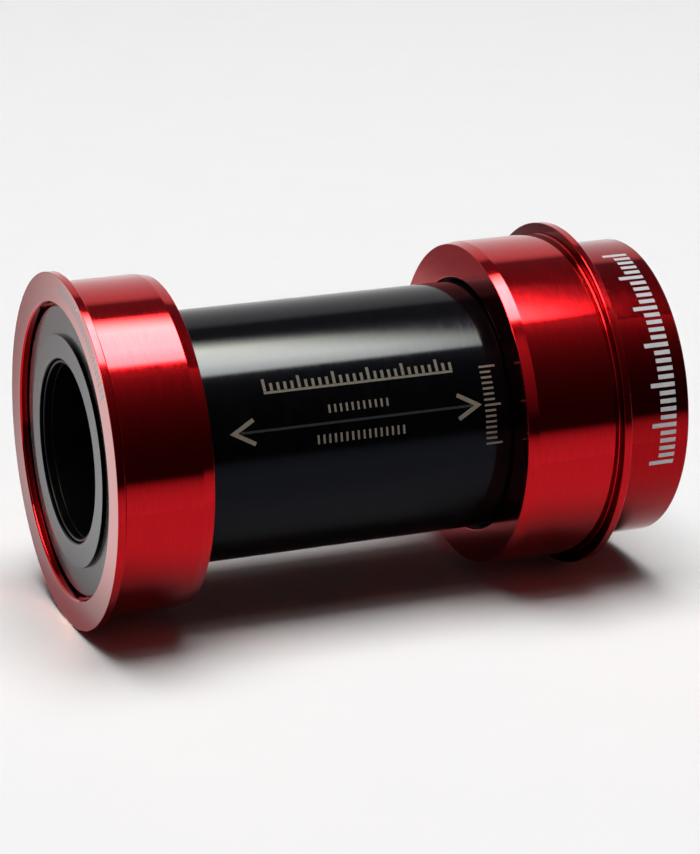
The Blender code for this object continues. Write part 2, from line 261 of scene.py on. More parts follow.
def cup_profiles():
    left_length, right_length = CUP_LENGTHS[LEFT], CUP_LENGTHS[RIGHT]
    left = mouth_and_seat() + sleeve_seat(left_length) + barrel(left_length, LEFT_FLANGE[1])
    left += flange_rim(LEFT_FLANGE[1], FACE_SKIM)
    right = mouth_and_seat() + sleeve_seat(right_length) + barrel(right_length, RIGHT_FLANGE[1])
    right += flange_rim(RIGHT_FLANGE[1], RIGHT_FLANGE[0])
    right += [(RIGHT_FLANGE[0], EXTERNAL_RADIUS, 1.5), (FACE_SKIM, EXTERNAL_RADIUS, 0.2)]
    return {LEFT: left, RIGHT: right}


def sleeve_profile():
    far = OVERALL_LENGTH - SLEEVE_DEPTH
    return [
        (SLEEVE_DEPTH, SLEEVE_INNER_RADIUS, 0.1),
        (SLEEVE_DEPTH, SLEEVE_RADIUS, 0.3),
        (far, SLEEVE_RADIUS, 0.3),
        (far, SLEEVE_INNER_RADIUS, 0.1),
    ]


def cover_profile():
    """A disc with a raised ring round its hole, a hub, and a groove in its back for the lip seal."""
    return [
        (HUB_END, COVER_HOLE_RADIUS, 0.05),
        (BOSS_DEPTH, COVER_HOLE_RADIUS, 0.32),
        (BOSS_DEPTH, BOSS_RADIUS, 0.05),
        (COVER_DEPTH, BOSS_RADIUS, 0.05),
        (COVER_DEPTH, COVER_RADIUS, 0.2),
        (COVER_BACK, COVER_RADIUS, 0.1),
        (COVER_BACK, LIP_GROOVE[1], 0.02),
        (LIP_GROOVE_DEPTH, LIP_GROOVE[1], 0.02),
        (LIP_GROOVE_DEPTH, LIP_GROOVE[0], 0.02),
        (COVER_BACK, LIP_GROOVE[0], 0.02),
        (COVER_BACK, HUB_RADIUS, 0.05),
        (HUB_END, HUB_RADIUS, 0.05),
    ]


def bush_profile():
    """The spindle bush, with the two fine steps that show inside its mouth."""
    return [
        (BUSH_END, BUSH_BORE_RADIUS, 0.1),
        (BUSH_STEP[1], BUSH_BORE_RADIUS, 0.05),
        (BUSH_STEP[1], BUSH_STEP_RADIUS, 0.04),
        (BUSH_STEP[0], BUSH_STEP_RADIUS, 0.04),
        (BUSH_STEP[0], BUSH_BORE_RADIUS, 0.04),
        (BUSH_START, BUSH_BORE_RADIUS, 0.15),
        (BUSH_START, BUSH_RADIUS, 0.1),
        (BUSH_END, BUSH_RADIUS, 0.1),
    ]


def lip_profile():
    """A rubber ring in the cover's back, whose edge reaches the floor of the cup's mouth."""
    return [
        (LIP_ROOT, LIP_SEAL[0], 0.02),
        (LIP_ROOT, LIP_SEAL[1], 0.02),
        (COVER_BACK, LIP_SEAL[1], 0.02),
        (*LIP_TIP, 0.05),
        (COVER_BACK, LIP_SEAL[0], 0.02),
    ]


def o_ring_profile(length):
    points = []
    for i in range(O_RING_POINTS):
        angle = -2 * math.pi * i / O_RING_POINTS
        depth = length - O_RING_INSET + O_RING_SECTION * math.cos(angle)
        points.append((depth, O_RING_RADIUS + O_RING_SECTION * math.sin(angle), 0.0))
    return points


def race_track(land, outwards):
    """The rounded track of the balls across a race, from the outer side inwards."""
    centre = PITCH_RADIUS + outwards * (TRACK_REACH - TRACK_CURVE)
    half = math.acos(abs(land - centre) / TRACK_CURVE)
    points = []
    for i in range(TRACK_POINTS):
        angle = half * (2 * i / (TRACK_POINTS - 1) - 1)
        depth = BEARING_MIDDLE + TRACK_CURVE * math.sin(angle)
        points.append((depth, centre + outwards * TRACK_CURVE * math.cos(angle), 0.0))
    return points


def race_profiles():
    near, far = BEARING_DEPTH, BEARING_DEPTH + BEARING_WIDTH
    outer = [
        (near, SHIELD_SEAT_RADIUS, 0.05),
        (near + SHIELD_SEAT_WIDTH, SHIELD_SEAT_RADIUS, 0.05),
        (near + SHIELD_SEAT_WIDTH, OUTER_LAND_RADIUS, 0.05),
        *race_track(OUTER_LAND_RADIUS, 1),
        (far - SHIELD_SEAT_WIDTH, OUTER_LAND_RADIUS, 0.05),
        (far - SHIELD_SEAT_WIDTH, SHIELD_SEAT_RADIUS, 0.05),
        (far, SHIELD_SEAT_RADIUS, 0.05),
        (far, BEARING_RADIUS, 0.3),
        (near, BEARING_RADIUS, 0.3),
    ]
    inner = [
        (near, INNER_LAND_RADIUS, 0.05),
        *race_track(INNER_LAND_RADIUS, -1),
        (far, INNER_LAND_RADIUS, 0.05),
        (far, BEARING_BORE_RADIUS, 0.3),
        (near, BEARING_BORE_RADIUS, 0.3),
    ]
    return outer, inner


def shield_profile(start):
    """A rubber shield, with the shallow pressed ring of a real one."""
    floor, back = start + PRESSED_DEPTH, start + SHIELD_THICKNESS
    return [
        (start, SHIELD_RADII[0], 0.05),
        (start, PRESSED_RING[0], 0.05),
        (floor, PRESSED_RING[1], 0.05),
        (floor, PRESSED_RING[2], 0.05),
        (start, PRESSED_RING[3], 0.05),
        (start, SHIELD_RADII[1], 0.1),
        (back, SHIELD_RADII[1], 0.05),
        (back, SHIELD_RADII[0], 0.05),
    ]


def make_turned_pieces(finish):
    cups = cup_profiles()
    outer_race, inner_race = race_profiles()
    near_shield = shield_profile(BEARING_DEPTH + SHIELD_GAP)
    far_shield = shield_profile(BEARING_DEPTH + BEARING_WIDTH - SHIELD_GAP - SHIELD_THICKNESS)
    stand_for(
        lathe("centre_sleeve_tube", LEFT, sleeve_profile()),
        "centre_sleeve", "sleeve", finish["black_sleeve"],
    )
    for side, word in SIDE_NAMES.items():
        cup_body, spindle_body = f"{word}_cup", f"{word}_spindle_parts"
        o_ring = o_ring_profile(CUP_LENGTHS[side])
        rows = [
            ("cup", cup_body, cups[side], "red_anodised", "red_anodised_aluminium", FINE_STEPS),
            ("dust_cover", spindle_body, cover_profile(), "satin_grey", "satin_grey_cover", FINE_STEPS),
            ("spindle_bush", spindle_body, bush_profile(), "black_bush", "bush_polymer", FINE_STEPS),
            ("cover_lip_seal", spindle_body, lip_profile(), "rubber", "seal_rubber", INNER_STEPS),
            ("sleeve_o_ring", cup_body, o_ring, "rubber", "seal_rubber", INNER_STEPS),
            ("outer_race", cup_body, outer_race, "steel", "bearing_steel", INNER_STEPS),
            ("inner_race", spindle_body, inner_race, "steel", "bearing_steel", INNER_STEPS),
            ("outboard_bearing_seal", cup_body, near_shield, "rubber", "seal_rubber", INNER_STEPS),
            ("inboard_bearing_seal", cup_body, far_shield, "rubber", "seal_rubber", INNER_STEPS),
        ]
        for part, body, profile, material, slot, steps in rows:
            node = f"{word}_{part}"
            stand_for(lathe(f"{node}_turned", side, profile, steps), node, body, finish[material])


# --- bearings' balls and cages -----------------------------------------------------------------------------
def ball_places(side):
    """The direction outwards from the axis, and the centre in metres, of each ball on one side."""
    middle = Vector((side * (HALF_LENGTH - BEARING_MIDDLE), 0.0, 0.0))
    places = []
    for i in range(BALL_COUNT):
        angle = 2 * math.pi * i / BALL_COUNT
        outward = Vector((0.0, math.cos(angle), math.sin(angle)))
        places.append((outward, (middle + outward * PITCH_RADIUS) * MM))
    return places


def ball_mesh(material):
    shape = bmesh.new()
    bmesh.ops.create_icosphere(shape, subdivisions=3, radius=BALL_RADIUS * MM)
    mesh = bpy.data.meshes.new("bearing_ball")
    shape.to_mesh(mesh)
    shape.free()
    mesh.materials.append(material)
    return mesh


def make_balls(finish):
    shared = ball_mesh(finish["ceramic"])
    for side, word in SIDE_NAMES.items():
        for i, (outward, centre) in enumerate(ball_places(side)):
            node = f"{word}_ball_{i + 1:02d}"
            ball = add_mesh(f"{node}_polished", shared)
            ball.location = centre
            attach(ball, f"{word}_ball_set")
            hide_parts(node)


def pocket_cutter(side):
    """One object that holds the round pockets to be cut from a cage."""
    shape = bmesh.new()
    for outward, centre in ball_places(side):
        bmesh.ops.create_cone(
            shape, cap_ends=True, segments=POCKET_SIDES,
            radius1=POCKET_RADIUS * MM, radius2=POCKET_RADIUS * MM, depth=2 * POCKET_RADIUS * MM,
            matrix=Matrix.Translation(centre) @ outward.to_track_quat("Z", "X").to_matrix().to_4x4(),
        )
    mesh = bpy.data.meshes.new("cage_pockets")
    shape.to_mesh(mesh)
    shape.free()
    cutter = bpy.data.objects.new("cage_pockets", mesh)
    bpy.context.scene.collection.objects.link(cutter)
    return cutter


def make_cages(finish):
    near, far = BEARING_MIDDLE - CAGE_CLOSED_SIDE, BEARING_MIDDLE + CAGE_OPEN_SIDE
    inner, outer = CAGE_RADII
    profile = [(near, inner, 0.1), (near, outer, 0.1), (far, outer, 0.1), (far, inner, 0.1)]
    for side, word in SIDE_NAMES.items():
        cage = lathe(f"{word}_ball_cage_moulded", side, profile, INNER_STEPS)
        cutter = pocket_cutter(side)
        pockets = cage.modifiers.new("pockets", "BOOLEAN")
        pockets.operation = "DIFFERENCE"
        pockets.object = cutter
        depsgraph = bpy.context.evaluated_depsgraph_get()
        cut = bpy.data.meshes.new_from_object(cage.evaluated_get(depsgraph))
        cage.modifiers.clear()
        cage.data = cut
        cut.shade_smooth()
        cut.set_sharp_from_angle(angle=math.radians(35))
        bpy.data.objects.remove(cutter)
        stand_for(cage, f"{word}_ball_cage", f"{word}_ball_set", finish["nylon"])


# --- marks -------------------------------------------------------------------------------------------------
MARK_RISE = 0.006
MARK_DEPTH = 0.05
MARK_STEP = 0.35               # the longest piece of a stroke before it is divided to follow the surface
THIN, FINE, MEDIUM = 0.3, 0.34, 0.42    # widths of the strokes
FACE_TICK, BOLD, RING_TICK = 0.5, 0.58, 0.62
ARROW_LEVEL = 17.4             # degrees above -Y
ARROW_SPREAD = 5.4


def on_cylinder(radius):
    """Maps (x in mm from the left end, angle in degrees above -Y) and a height to a point on a cylinder."""
    def place(point, height):
        angle = math.radians(point[1])
        reach = radius + height
        return Vector((
            (point[0] - HALF_LENGTH) * MM,
            -reach * math.cos(angle) * MM,
            reach * math.sin(angle) * MM,
        ))
    return place, math.degrees(1 / radius)


def on_left_face():
    """Maps (radius in mm, angle in degrees) and a height to a point on the left cup's outer face."""
    def place(point, height):
        angle = math.radians(point[1])
        x = -HALF_LENGTH + FACE_SKIM - height
        return Vector((x * MM, -point[0] * math.cos(angle) * MM, point[0] * math.sin(angle) * MM))
    return place, math.degrees(1 / SHELL_RADIUS)


def offset_sides(points, width):
    """The left and right edges of a polyline of this width, mitred at its corners."""
    sides = []
    for i, point in enumerate(points):
        directions = []
        if i > 0:
            directions.append((point - points[i - 1]).normalized())
        if i < len(points) - 1:
            directions.append((points[i + 1] - point).normalized())
        along = sum(directions, Vector((0.0, 0.0))).normalized()
        across = Vector((-along.y, along.x))
        stretch = 1 / max(0.3, across.dot(Vector((-directions[0].y, directions[0].x))))
        sides.append((point + across * width / 2 * stretch, point - across * width / 2 * stretch))
    return sides


def add_stroke(shape, surface, points, width):
    """A thin closed strip along a polyline of (mm, degrees) points, lying on the surface."""
    place, degrees_per_mm = surface
    flat = [Vector((a, b / degrees_per_mm)) for a, b in points]
    sides = offset_sides(flat, width)
    stations = [sides[0]]
    for start, end in zip(sides, sides[1:]):
        count = max(1, math.ceil(((end[0] + end[1]) / 2 - (start[0] + start[1]) / 2).length / MARK_STEP))
        for step in range(1, count + 1):
            t = step / count
            stations.append((start[0].lerp(end[0], t), start[1].lerp(end[1], t)))
    rings = []
    for left, right in stations:
        corners = []
        upper, lower = [(left, MARK_RISE), (right, MARK_RISE)], [(right, -MARK_DEPTH), (left, -MARK_DEPTH)]
        for corner, height in upper + lower:
            corners.append(shape.verts.new(place((corner.x, corner.y * degrees_per_mm), height)))
        rings.append(corners)
    for here, there in zip(rings, rings[1:]):
        for i in range(4):
            j = (i + 1) % 4
            shape.faces.new((here[i], here[j], there[j], there[i]))
    shape.faces.new(rings[0])
    shape.faces.new(reversed(rings[-1]))


def finish_marks(name, shape, body, material):
    """Makes one object of the strokes, which rides on a body and replaces nothing."""
    bmesh.ops.recalc_face_normals(shape, faces=shape.faces)
    mesh = bpy.data.meshes.new(name)
    shape.to_mesh(mesh)
    shape.free()
    obj = bpy.data.objects.new(name, mesh)
    bpy.context.scene.collection.objects.link(obj)
    mesh.shade_smooth()
    mesh.set_sharp_from_angle(angle=math.radians(30))
    mesh.materials.append(material)
    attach(obj, body)


def make_width_arrow(finish):
    """The double-headed arrow along the sleeve."""
    surface = on_cylinder(SLEEVE_RADIUS)
    shape = bmesh.new()
    for tip, back in ((18.75, 21.7), (54.1, 51.15)):
        upper, lower = (back, ARROW_LEVEL + ARROW_SPREAD), (back, ARROW_LEVEL - ARROW_SPREAD)
        add_stroke(shape, surface, [upper, (tip, ARROW_LEVEL), lower], BOLD)
    finish_marks("sleeve_arrow_heads", shape, "sleeve", finish["etched"])
    shape = bmesh.new()
    start, end = 19.7, 53.2
    add_stroke(shape, surface, [(start, ARROW_LEVEL), (end, ARROW_LEVEL)], FINE)
    finish_marks("sleeve_arrow_shaft", shape, "sleeve", finish["etched_dark"])


def make_sleeve_scale(finish):
    """A plain graduated scale above the arrow."""
    surface = on_cylinder(SLEEVE_RADIUS)
    shape = bmesh.new()
    first, count = 24.0, 28
    base, foot, short, long = 33.9, 34.6, 38.2, 40.4
    for i in range(count):
        add_stroke(shape, surface, [(first + i, foot), (first + i, short if i % 5 else long)], MEDIUM)
    add_stroke(shape, surface, [(first - 0.2, base), (first + count - 0.8, base)], FINE)
    finish_marks("sleeve_scale", shape, "sleeve", finish["etched"])


def make_sleeve_ticks(finish):
    """Short rows of index ticks above and below the arrow, and up the right end."""
    surface = on_cylinder(SLEEVE_RADIUS)
    pitch = 0.8
    rows = {
        "sleeve_upper_ticks": (32.6, 41.0, 21.8, 25.4),
        "sleeve_lower_ticks": (30.6, 43.0, 8.6, 12.6),
    }
    for name, (first, last, low, high) in rows.items():
        shape = bmesh.new()
        count = round((last - first) / pitch)
        for i in range(count + 1):
            x = first + (last - first) * i / count
            add_stroke(shape, surface, [(x, low), (x, high)], THIN)
        finish_marks(name, shape, "sleeve", finish["etched"])
    shape = bmesh.new()
    start, short, long = 55.1, 56.7, 57.5
    lowest, sweep, count = -0.8, 35.1, 14
    for i in range(count + 1):
        level = lowest + sweep * i / count
        add_stroke(shape, surface, [(start, level), (short if i % 7 else long, level)], THIN)
    finish_marks("sleeve_end_ticks", shape, "sleeve", finish["etched"])


def make_cup_marks(finish):
    """An index ring round the external cup, and faint ticks on the left cup's face."""
    surface = on_cylinder(EXTERNAL_RADIUS)
    shape = bmesh.new()
    short, long, end = 79.9, 78.6, 82.3
    lowest, sweep, count = -14, 92, 30
    for i in range(count + 1):
        level = lowest + sweep * i / count
        add_stroke(shape, surface, [(short if i % 5 else long, level), (end, level)], RING_TICK)
    finish_marks("right_cup_index_ring", shape, "right_cup", finish["silver"])
    surface = on_left_face()
    shape = bmesh.new()
    inner, outer = 22.2, 23.6
    lowest, sweep, count = 35, 54, 24
    for i in range(count + 1):
        level = lowest + sweep * i / count
        add_stroke(shape, surface, [(inner, level), (outer, level)], FACE_TICK)
    finish_marks("left_cup_face_ticks", shape, "left_cup", finish["pale_grey"])


# --- materials ---------------------------------------------------------------------------------------------
RED = (0.42, 0.0073, 0.0112)
INNER_END_RED = (0.38, 0.012, 0.016)
# painted shade: the flanges' faces that look along the axis, beside the grooves, are darkened as if in shade
FLANGE_BACK_PAINTED_SHADE = (0.12, 0.006, 0.008)
OUTER_END_RED = (0.5, 0.2, 0.19)
EXTERNAL_SHARE = 0.68          # the body outside the frame is given a darker base colour


class Paint:
    """A node material with a few shorthands."""

    def __init__(self, name, colour, **sockets):
        self.material = bpy.data.materials.new(name)
        self.material.use_nodes = True
        self.tree = self.material.node_tree
        self.shader = self.tree.nodes["Principled BSDF"]
        self.set(**{"Base Color": (*colour, 1.0), **sockets})
        self.material.diffuse_color = (*colour, 1.0)

    def set(self, **sockets):
        for name, value in sockets.items():
            self.shader.inputs[name].default_value = value

    def node(self, kind, settings=None, **inputs):
        """A new node. An input is given by its name, or by its number as i0 or i1, as a value or a socket."""
        made = self.tree.nodes.new(kind)
        for name, value in (settings or {}).items():
            setattr(made, name, value)
        for name, value in inputs.items():
            numbered = name[0] == "i" and name[1:].isdigit()
            socket = made.inputs[int(name[1:]) if numbered else name]
            if isinstance(value, bpy.types.NodeSocket):
                self.tree.links.new(value, socket)
            else:
                socket.default_value = value
        return made

    def math(self, operation, a, b=0.0):
        return self.node("ShaderNodeMath", {"operation": operation}, i0=a, i1=b).outputs[0]

    def cylindrical(self):
        """Object coordinates as (x, direction round the axis, radius)."""
        place = self.node("ShaderNodeTexCoord").outputs["Object"]
        split = self.node("ShaderNodeSeparateXYZ", Vector=place)
        flat = self.node("ShaderNodeCombineXYZ", Y=split.outputs["Y"], Z=split.outputs["Z"]).outputs[0]
        radius = self.node("ShaderNodeVectorMath", {"operation": "LENGTH"}, i0=flat).outputs["Value"]
        heading = self.node("ShaderNodeVectorMath", {"operation": "NORMALIZE"}, i0=flat).outputs["Vector"]
        return split.outputs["X"], heading, radius

    def turned_noise(self, across, around, detail=3.0):
        """Noise drawn out round the axis: across is per metre, around is per radian or so."""
        x, heading, radius = self.cylindrical()
        turn = self.node("ShaderNodeVectorMath", {"operation": "SCALE"}, i0=heading, Scale=around)
        shift = self.node("ShaderNodeCombineXYZ", X=self.math("MULTIPLY", x, across))
        both = {"i0": turn.outputs[0], "i1": shift.outputs[0]}
        where = self.node("ShaderNodeVectorMath", {"operation": "ADD"}, **both).outputs[0]
        depth = self.math("MULTIPLY", radius, across)
        noise = self.node(
            "ShaderNodeTexNoise", {"noise_dimensions": "4D"},
            Vector=where, W=depth, Scale=1.0, Detail=detail, Roughness=0.55,
        )
        return noise.outputs["Fac"]

    def noise(self, scale, detail=3.0):
        place = self.node("ShaderNodeTexCoord").outputs["Object"]
        return self.node("ShaderNodeTexNoise", Vector=place, Scale=scale, Detail=detail).outputs["Fac"]

    def spread(self, value, low, high, low_out, high_out):
        """Maps low to high onto low_out to high_out, and keeps to them outside."""
        made = self.node("ShaderNodeMapRange", Value=value)
        ends = {"From Min": low, "From Max": high, "To Min": low_out, "To Max": high_out}
        for name, number in ends.items():
            made.inputs[name].default_value = number
        return made.outputs["Result"]

    def share(self, value):
        """A noise value as a share from 0 to 1, with its middle stretched."""
        return self.spread(value, 0.3, 0.7, 0.0, 1.0)

    def blend(self, value, start, end):
        """A colour between two others, each an RGB triple or a socket."""
        made = self.node("ShaderNodeMix", {"data_type": "RGBA"}, Factor=value)
        colours = [socket for socket in made.inputs if socket.type == "RGBA"]
        for socket, colour in zip(colours, (start, end)):
            if isinstance(colour, bpy.types.NodeSocket):
                self.tree.links.new(colour, socket)
            else:
                socket.default_value = (*colour, 1.0)
        return [socket for socket in made.outputs if socket.type == "RGBA"][0]

    def base(self, colour):
        self.tree.links.new(colour, self.shader.inputs["Base Color"])

    def tint(self, value, dark, light):
        self.base(self.blend(value, dark, light))

    def facing_ends(self):
        """1 on faces that look along the axis, 0 on walls and bevels."""
        normal = self.node("ShaderNodeTexCoord").outputs["Normal"]
        along = self.math("ABSOLUTE", self.node("ShaderNodeSeparateXYZ", Vector=normal).outputs["X"])
        return self.spread(along, 0.9, 0.98, 0.0, 1.0)

    def outer_faces(self):
        """1 at the two outermost planes of the whole unit, 0 elsewhere."""
        place = self.node("ShaderNodeTexCoord").outputs["Object"]
        along = self.math("ABSOLUTE", self.node("ShaderNodeSeparateXYZ", Vector=place).outputs["X"])
        edge = HALF_LENGTH * MM
        return self.spread(along, edge - 0.0002, edge - 0.0001, 0.0, 1.0)

    def flange_zone(self):
        """1 further out than the barrels' surface, 0 inside it."""
        radius = self.cylindrical()[2]
        return self.spread(radius, (SHELL_RADIUS - 0.07) * MM, SHELL_RADIUS * MM, 0.0, 1.0)

    def external_zone(self):
        """1 on the part of the right cup outside the frame, 0 elsewhere."""
        flange_front = HALF_LENGTH - RIGHT_FLANGE[0]
        return self.spread(self.cylindrical()[0], flange_front * MM, (flange_front + 0.1) * MM, 0.0, 1.0)

    def roughen(self, value):
        self.tree.links.new(value, self.shader.inputs["Roughness"])

    def bump(self, height, distance, strength=1.0):
        made = self.node("ShaderNodeBump", Height=height, Distance=distance, Strength=strength)
        self.tree.links.new(made.outputs["Normal"], self.shader.inputs["Normal"])


def red_anodised():
    """Dyed aluminium: a clear red mirror with fine turned lines, paler and quieter on its end faces; the backs
    of the flanges are darkened as painted shade.
    """
    paint = Paint("red_anodised", RED, Metallic=1.0, Roughness=0.1)
    ends, outer = paint.facing_ends(), paint.outer_faces()
    lines = paint.turned_noise(9000, 8.0, 2.0)
    shades = []
    for share in (1.0, EXTERNAL_SHARE):
        deep, pale = [tuple(channel * share * line for channel in RED) for line in (0.88, 1.12)]
        shades.append(paint.blend(paint.share(lines), deep, pale))
    barrel = paint.blend(paint.external_zone(), *shades)
    # the inner end faces, with painted shade on the backs of the flanges
    inner_end_and_flange_shade = paint.blend(paint.flange_zone(), INNER_END_RED, FLANGE_BACK_PAINTED_SHADE)
    inner = paint.blend(ends, barrel, inner_end_and_flange_shade)
    paint.base(paint.blend(paint.math("MULTIPLY", ends, outer), inner, OUTER_END_RED))
    matt = paint.math("MULTIPLY", ends, 0.04)
    paint.roughen(paint.math("ADD", paint.spread(lines, 0.3, 0.7, 0.055, 0.1), matt))
    paint.bump(lines, 0.0000009)
    return paint.material


def black_sleeve():
    """Black plastic with a wet gloss, finely scuffed round its length."""
    paint = Paint("black_sleeve", (0.0012, 0.0012, 0.0014), Roughness=0.09, IOR=1.2)
    paint.set(**{"Specular Tint": (0.66, 0.72, 1.0, 1.0)})
    wear = paint.spread(paint.turned_noise(900, 6.0, 5.0), 0.35, 0.75, 0.0, 1.0)
    paint.tint(wear, (0.0008, 0.0008, 0.001), (0.002, 0.002, 0.0024))
    scuffs = paint.turned_noise(3500, 9.0, 4.0)
    paint.roughen(paint.spread(scuffs, 0.3, 0.7, 0.055, 0.125))
    paint.bump(scuffs, 0.0000015)
    return paint.material


def satin_grey():
    """The dust covers: grey satin end faces, and near-black metallic walls that are painted shade, keeping the
    gaps dark.
    """
    paint = Paint("satin_grey", (0.045, 0.05, 0.053), Roughness=0.3, IOR=1.55)
    lines = paint.turned_noise(3200, 4.0, 3.0)
    grain = paint.noise(4200, 3.0)
    ends = paint.facing_ends()
    face = paint.blend(paint.share(lines), (0.04, 0.044, 0.047), (0.052, 0.058, 0.062))
    # painted shade: the walls, which face round the axis, are near-black metal so that they stay dark as if in
    # shade
    shade_painted_wall = paint.blend(paint.share(grain), (0.0003, 0.0003, 0.0004), (0.0006, 0.0006, 0.0007))
    paint.base(paint.blend(ends, shade_painted_wall, face))
    paint.tree.links.new(paint.math("SUBTRACT", 1.0, ends), paint.shader.inputs["Metallic"])
    paint.roughen(paint.spread(grain, 0.3, 0.7, 0.21, 0.27))
    paint.bump(grain, 0.0000015)
    return paint.material


def black_bush():
    paint = Paint("black_bush", (0.0015, 0.0015, 0.0017), Roughness=0.3, IOR=1.2)
    lines = paint.turned_noise(2600, 6.0, 2.0)
    paint.tint(paint.share(lines), (0.0012, 0.0012, 0.0014), (0.0022, 0.0022, 0.0025))
    paint.roughen(paint.spread(lines, 0.3, 0.7, 0.27, 0.34))
    paint.bump(lines, 0.0000012)
    return paint.material


def rubber():
    paint = Paint("seal_rubber_looks", (0.014, 0.014, 0.014), Roughness=0.7)
    grain = paint.noise(2500, 4.0)
    paint.tint(grain, (0.01, 0.01, 0.01), (0.022, 0.022, 0.021))
    paint.roughen(paint.spread(grain, 0.3, 0.7, 0.6, 0.8))
    paint.bump(grain, 0.00001)
    return paint.material


def steel():
    paint = Paint("ground_steel", (0.6, 0.6, 0.62), Metallic=1.0, Roughness=0.2)
    lines = paint.turned_noise(6000, 2.0, 2.0)
    paint.tint(lines, (0.54, 0.54, 0.56), (0.66, 0.66, 0.68))
    paint.roughen(paint.spread(lines, 0.3, 0.7, 0.14, 0.28))
    paint.bump(lines, 0.000002)
    return paint.material


def ceramic():
    paint = Paint("silicon_nitride", (0.03, 0.03, 0.035), Roughness=0.08)
    cloud = paint.noise(1200, 3.0)
    paint.tint(cloud, (0.024, 0.024, 0.028), (0.042, 0.042, 0.047))
    paint.roughen(paint.spread(cloud, 0.3, 0.7, 0.05, 0.12))
    return paint.material


def nylon():
    paint = Paint("cage_nylon_looks", (0.55, 0.5, 0.4), Roughness=0.5)
    paint.set(**{"Subsurface Weight": 0.15, "Subsurface Scale": 0.001})
    grain = paint.noise(1800, 4.0)
    paint.tint(grain, (0.48, 0.43, 0.34), (0.6, 0.55, 0.45))
    paint.roughen(paint.spread(grain, 0.3, 0.7, 0.42, 0.58))
    paint.bump(grain, 0.00001)
    return paint.material


def printed(name, dark, light, metallic, rough):
    """Laser-etched or printed marks, dull, with a fine uneven grain."""
    paint = Paint(name, light, Metallic=metallic, Roughness=rough)
    paint.set(**{"Specular IOR Level": 0.0})
    grain = paint.noise(5000, 4.0)
    paint.tint(paint.share(grain), dark, light)
    paint.roughen(paint.spread(grain, 0.3, 0.7, rough - 0.08, rough + 0.08))
    paint.bump(grain, 0.000002)
    return paint.material


def make_finishes():
    return {
        "red_anodised": red_anodised(),
        "black_sleeve": black_sleeve(),
        "satin_grey": satin_grey(),
        "black_bush": black_bush(),
        "rubber": rubber(),
        "steel": steel(),
        "ceramic": ceramic(),
        "nylon": nylon(),
        "etched": printed("etched_mark", (0.145, 0.128, 0.1), (0.19, 0.17, 0.138), 0.0, 0.5),
        "etched_dark": printed("etched_shaft", (0.02, 0.02, 0.022), (0.032, 0.032, 0.035), 0.0, 0.5),
        "silver": printed("silver_mark", (0.47, 0.49, 0.5), (0.55, 0.575, 0.59), 0.0, 0.4),
        "pale_grey": printed("pale_grey_mark", (0.27, 0.28, 0.29), (0.31, 0.32, 0.33), 1.0, 0.3),
    }


# --- studio ------------------------------------------------------------------------------------------------
WHITE = (1.0, 1.0, 1.0)
FLOOR_SIZE = 8.0
FLOOR_COLOUR = (0.8, 0.8, 0.8)
CAMERA_PLACE = (-0.15762, -0.39228, 0.13424)
CAMERA_AZIMUTH, CAMERA_ELEVATION = -21.87, 17.8
CAMERA_LENS = 133.42
WORLD_STRENGTH = 0.025
OVERHEAD_HEIGHT = 1.6
OVERHEAD_SIZE = 1.1
OVERHEAD_WATTS = 25.0
SUN_HEIGHT = 2.0
SUN_STRENGTH = 0.9
SUN_SPREAD = 60.0

# what the glossy surfaces mirror: panels in the air and round the floor, and cards just above the floor
KEY_HEIGHT = 0.6
KEY_SLANT = (1.0, 0.305, 0.0)  # the key's right edge runs across this direction
KEY_BRIGHTNESS = 72.0
KEY_TAIL = 0.03
KEY_SURROUND = 0.22
KEY_COLOUR = (1.0, 0.97, 0.72)
KEY_EDGE_COLOUR = (1.0, 0.82, 0.95)
FAR_HEIGHT = 0.59
FAR_BRIGHTNESS = 30.0
PANEL_ENDS = (-2.5, 3.5)
PANEL_DISTANCE = 1.0
PANEL_FOOT = -0.02
PANEL_TOP = 3.0
BACK_TOP = 1.6
BACK_BRIGHTNESS = 0.95
FRONT_BRIGHTNESS = 1.0
FRONT_LEFT_END = 0.26
FRONT_LEFT_BRIGHTNESS = 1.0
CARD_RISE = 0.0001             # between the floor and the cards
CARD_BRIGHTNESS = 1.04
CARD_EDGE = -0.06
# the left card paints a shadow of the object on the floor: dark close to the left end along SIDE_SLANT, down
# to SIDE_LEAST, and tinted SIDE_EDGE_COLOUR there
SIDE_SLANT = (-1.0, -0.35, 0.0)
SIDE_BRIGHTNESS = 0.75
SIDE_LEAST = 0.38
SIDE_EDGE_COLOUR = (1.0, 0.5, 0.54)


def make_floor():
    place = (0, 0, cad_low.z)
    bpy.ops.mesh.primitive_grid_add(x_subdivisions=8, y_subdivisions=8, size=FLOOR_SIZE, location=place)
    floor = bpy.context.object
    floor.name = "floor"
    paint = Paint("floor_paper", FLOOR_COLOUR, Roughness=0.9)
    grain = paint.noise(60, 5.0)
    paint.tint(grain, (0.79, 0.79, 0.79), (0.81, 0.81, 0.81))
    paint.set(**{"Specular IOR Level": 0.0})
    floor.data.materials.append(paint.material)


def place_light(light, height):
    """Hangs a light straight above the object, where only the matt surfaces and the floor see it."""
    obj = bpy.data.objects.new(light.name, light)
    obj.location = (0.0, 0.0, height)
    obj.visible_camera = False
    obj.visible_glossy = False
    bpy.context.scene.collection.objects.link(obj)


def make_overhead():
    light = bpy.data.lights.new("overhead_light", "AREA")
    light.shape = "RECTANGLE"
    light.size = light.size_y = OVERHEAD_SIZE
    light.energy = OVERHEAD_WATTS
    place_light(light, OVERHEAD_HEIGHT)


def make_sun():
    """A very soft light from straight above, which keeps the far floor pale."""
    light = bpy.data.lights.new("sky_light", "SUN")
    light.energy = SUN_STRENGTH
    light.angle = math.radians(SUN_SPREAD)
    place_light(light, SUN_HEIGHT)


